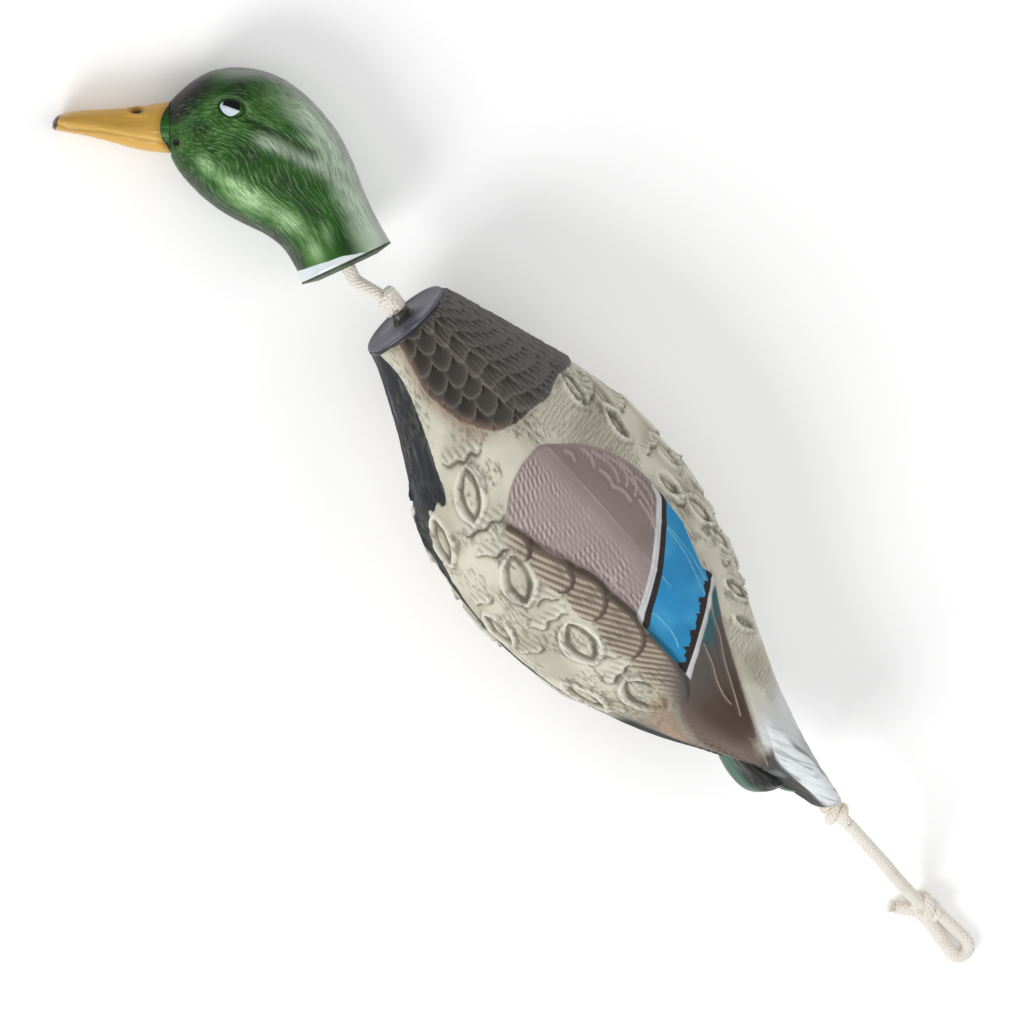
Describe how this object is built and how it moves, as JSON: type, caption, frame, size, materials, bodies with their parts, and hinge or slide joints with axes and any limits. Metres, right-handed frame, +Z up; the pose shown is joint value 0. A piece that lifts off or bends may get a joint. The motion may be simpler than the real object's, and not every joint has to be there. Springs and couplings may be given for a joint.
{
  "type": "duck decoy",
  "caption": "Drake-mallard training decoy: painted foam body with a cotton throw rope right through it and a hard plastic head that hangs loose on the rope",
  "frame": {"origin": "middle of the flat on the duck's left side, on which the body lies", "axes": "+X from the tail to the neck, level; +Y towards the duck's back; +Z up, out of the duck's right side"},
  "size_m": [0.6, 0.116, 0.0993],
  "materials": {
    "body_foam": "matte",
    "dark_plastic": "matte",
    "cotton": "matte",
    "head_green": "satin",
    "bill_ochre": "satin",
    "eye_gloss": "gloss"
  },
  "bodies": {
    "body": {"body_foam": "body_foam", "neck_disc": "dark_plastic", "core_tube": "dark_plastic", "core_rope": "cotton", "tail_knot": "cotton", "throw_rope": "cotton", "loop_knot": "cotton", "throw_loop": "cotton", "rope_end": "cotton"},
    "knot": {"front_knot": "cotton"},
    "rope_low": {"neck_rope_lower": "cotton"},
    "rope_high": {"neck_rope_upper": "cotton", "head_knot": "cotton"},
    "head": {"head_shell": "head_green", "head_cap": "head_green", "bill": "bill_ochre", "eye_left": "eye_gloss", "eye_right": "eye_gloss"}
  },
  "joints": [
    {"name": "knot_turn", "type": "hinge", "parent": "body", "child": "knot", "pos_m": [0.14167, -0.00302, 0.05019], "axis": [0.9998, 0, 0.0175], "range_deg": [-180, 180]},
    {"name": "rope_bend_at_knot", "type": "hinge", "parent": "knot", "child": "rope_low", "pos_m": [0.14167, -0.00302, 0.05019], "axis": [-0.008, 0.8885, 0.4588], "range_deg": [-60, 30]},
    {"name": "rope_bend_at_head", "type": "hinge", "parent": "rope_low", "child": "rope_high", "pos_m": [0.15697, 0.0024, 0.03995], "axis": [-0.3205, -0.5505, -0.7708], "range_deg": [-40, 40]},
    {"name": "head_turn", "type": "hinge", "parent": "rope_high", "child": "head", "pos_m": [0.16544, -0.00012, 0.03823], "axis": [0.9407, -0.2804, -0.1908], "range_deg": [-180, 180]}
  ]
}
